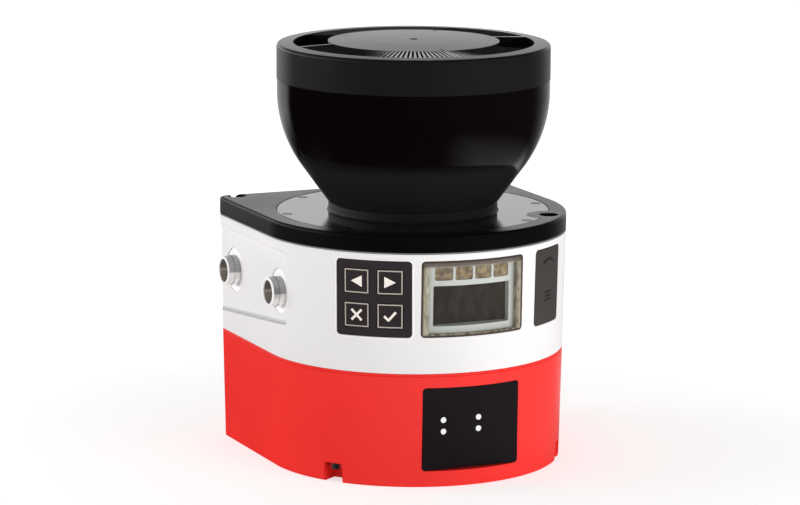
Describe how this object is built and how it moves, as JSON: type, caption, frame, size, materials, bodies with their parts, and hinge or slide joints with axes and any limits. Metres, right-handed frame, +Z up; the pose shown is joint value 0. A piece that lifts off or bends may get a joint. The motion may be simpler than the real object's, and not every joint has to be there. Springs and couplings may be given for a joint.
{
  "type": "safety laser scanner",
  "caption": "Compact safety laser scanner: red base, pale housing with display, keypad and side sockets, dark bowl-shaped optics cover and a finned round cap.",
  "frame": {"origin": "on the scan axis, on the plane that the base stands on", "axes": "+Z up along the scan axis, -Y towards the front with the display, -X towards the side with the two sockets"},
  "size_m": [0.1148, 0.1094, 0.1532],
  "materials": {
    "base_housing": "satin red coat",
    "communication_panel": "satin black plate",
    "status_light_pipes": "clear-white light pipe",
    "status_board": "circuit board",
    "main_board": "circuit board",
    "housing_screws": "zinc plated",
    "upper_housing": "fine-textured white",
    "mount_inserts": "turned brass",
    "housing_gasket": "grey rubber",
    "top_cover": "fine-textured black",
    "top_cover_screws": "blackened steel",
    "optics_cover": "polished, dark, infrared-clear",
    "optics_seal": "black rubber",
    "optics_cover_screws": "steel",
    "top_cap": "fine-textured black",
    "keypad_panel": "dark grey-brown foil",
    "key_left": "dark grey-brown, pale printed outline",
    "key_right": "dark grey-brown, pale printed outline",
    "key_cancel": "dark grey-brown, pale printed outline",
    "key_confirm": "dark grey-brown, pale printed outline",
    "key_domes": "spring steel",
    "display_lens": "clear, tinted",
    "display_frame": "pale frame",
    "display_lcd": "dark liquid crystal",
    "indicator_lights": "unlit diffusers",
    "usb_cover": "dark grey rubber",
    "usb_port_shell": "plated steel",
    "usb_port_tongue": "black",
    "socket_rear": "nickel plated brass",
    "socket_front": "nickel plated brass",
    "socket_nuts": "nickel plated",
    "socket_inserts": "black",
    "socket_contacts": "gold plated",
    "socket_board": "circuit board",
    "scan_chassis": "die cast",
    "scan_motor": "plated steel can",
    "motor_bearings": "steel",
    "motor_shaft": "ground steel",
    "encoder_disc": "dark disc",
    "mirror_carrier": "turned",
    "scan_mirror": "polished",
    "optical_head": "black",
    "receiver_lens": "polished lens"
  },
  "bodies": {
    "housing": {"base_housing": "base_housing", "communication_panel": "communication_panel", "status_light_pipes": "status_light_pipes", "status_board": "status_board", "main_board": "main_board", "housing_screws": "housing_screws", "upper_housing": "upper_housing", "mount_inserts": "mount_inserts", "housing_gasket": "housing_gasket", "top_cover": "top_cover", "top_cover_screws": "top_cover_screws", "optics_cover": "optics_cover", "optics_seal": "optics_seal", "optics_cover_screws": "optics_cover_screws", "top_cap": "top_cap", "keypad_panel": "keypad_panel", "key_domes": "key_domes", "display_lens": "display_lens", "display_frame": "display_frame", "display_lcd": "display_lcd", "indicator_lights": "indicator_lights", "usb_port_shell": "usb_port_shell", "usb_port_tongue": "usb_port_tongue", "socket_rear": "socket_rear", "socket_front": "socket_front", "socket_nuts": "socket_nuts", "socket_inserts": "socket_inserts", "socket_contacts": "socket_contacts", "socket_board": "socket_board", "scan_chassis": "scan_chassis", "scan_motor": "scan_motor", "motor_bearings": "motor_bearings", "optical_head": "optical_head", "receiver_lens": "receiver_lens"},
    "rotor": {"motor_shaft": "motor_shaft", "encoder_disc": "encoder_disc", "mirror_carrier": "mirror_carrier", "scan_mirror": "scan_mirror"},
    "usb_flap": {"usb_cover": "usb_cover"},
    "key_left": {"key_left": "key_left"},
    "key_right": {"key_right": "key_right"},
    "key_cancel": {"key_cancel": "key_cancel"},
    "key_confirm": {"key_confirm": "key_confirm"}
  },
  "joints": [
    {"name": "key_left_press", "type": "slide", "parent": "housing", "child": "key_left", "axis": [0.7026, 0.7116, 0], "range_m": [0, 0.0005], "stiffness_N_per_m": 2000, "springref_m": -0.0002},
    {"name": "key_right_press", "type": "slide", "parent": "housing", "child": "key_right", "axis": [0.5303, 0.8478, 0], "range_m": [0, 0.0005], "stiffness_N_per_m": 2000, "springref_m": -0.0002},
    {"name": "key_cancel_press", "type": "slide", "parent": "housing", "child": "key_cancel", "axis": [0.7026, 0.7116, 0], "range_m": [0, 0.0005], "stiffness_N_per_m": 2000, "springref_m": -0.0002},
    {"name": "key_confirm_press", "type": "slide", "parent": "housing", "child": "key_confirm", "axis": [0.5303, 0.8478, 0], "range_m": [0, 0.0005], "stiffness_N_per_m": 2000, "springref_m": -0.0002},
    {"name": "mirror_spin", "type": "hinge", "parent": "housing", "child": "rotor", "pos_m": [0, 0, 0.104], "axis": [0, 0, 1], "continuous": true},
    {"name": "usb_flap_hinge", "type": "hinge", "parent": "housing", "child": "usb_flap", "pos_m": [0.03332, -0.04407, 0.0546], "axis": [0.7977, 0.6031, 0], "range_deg": [0, 110]}
  ]
}
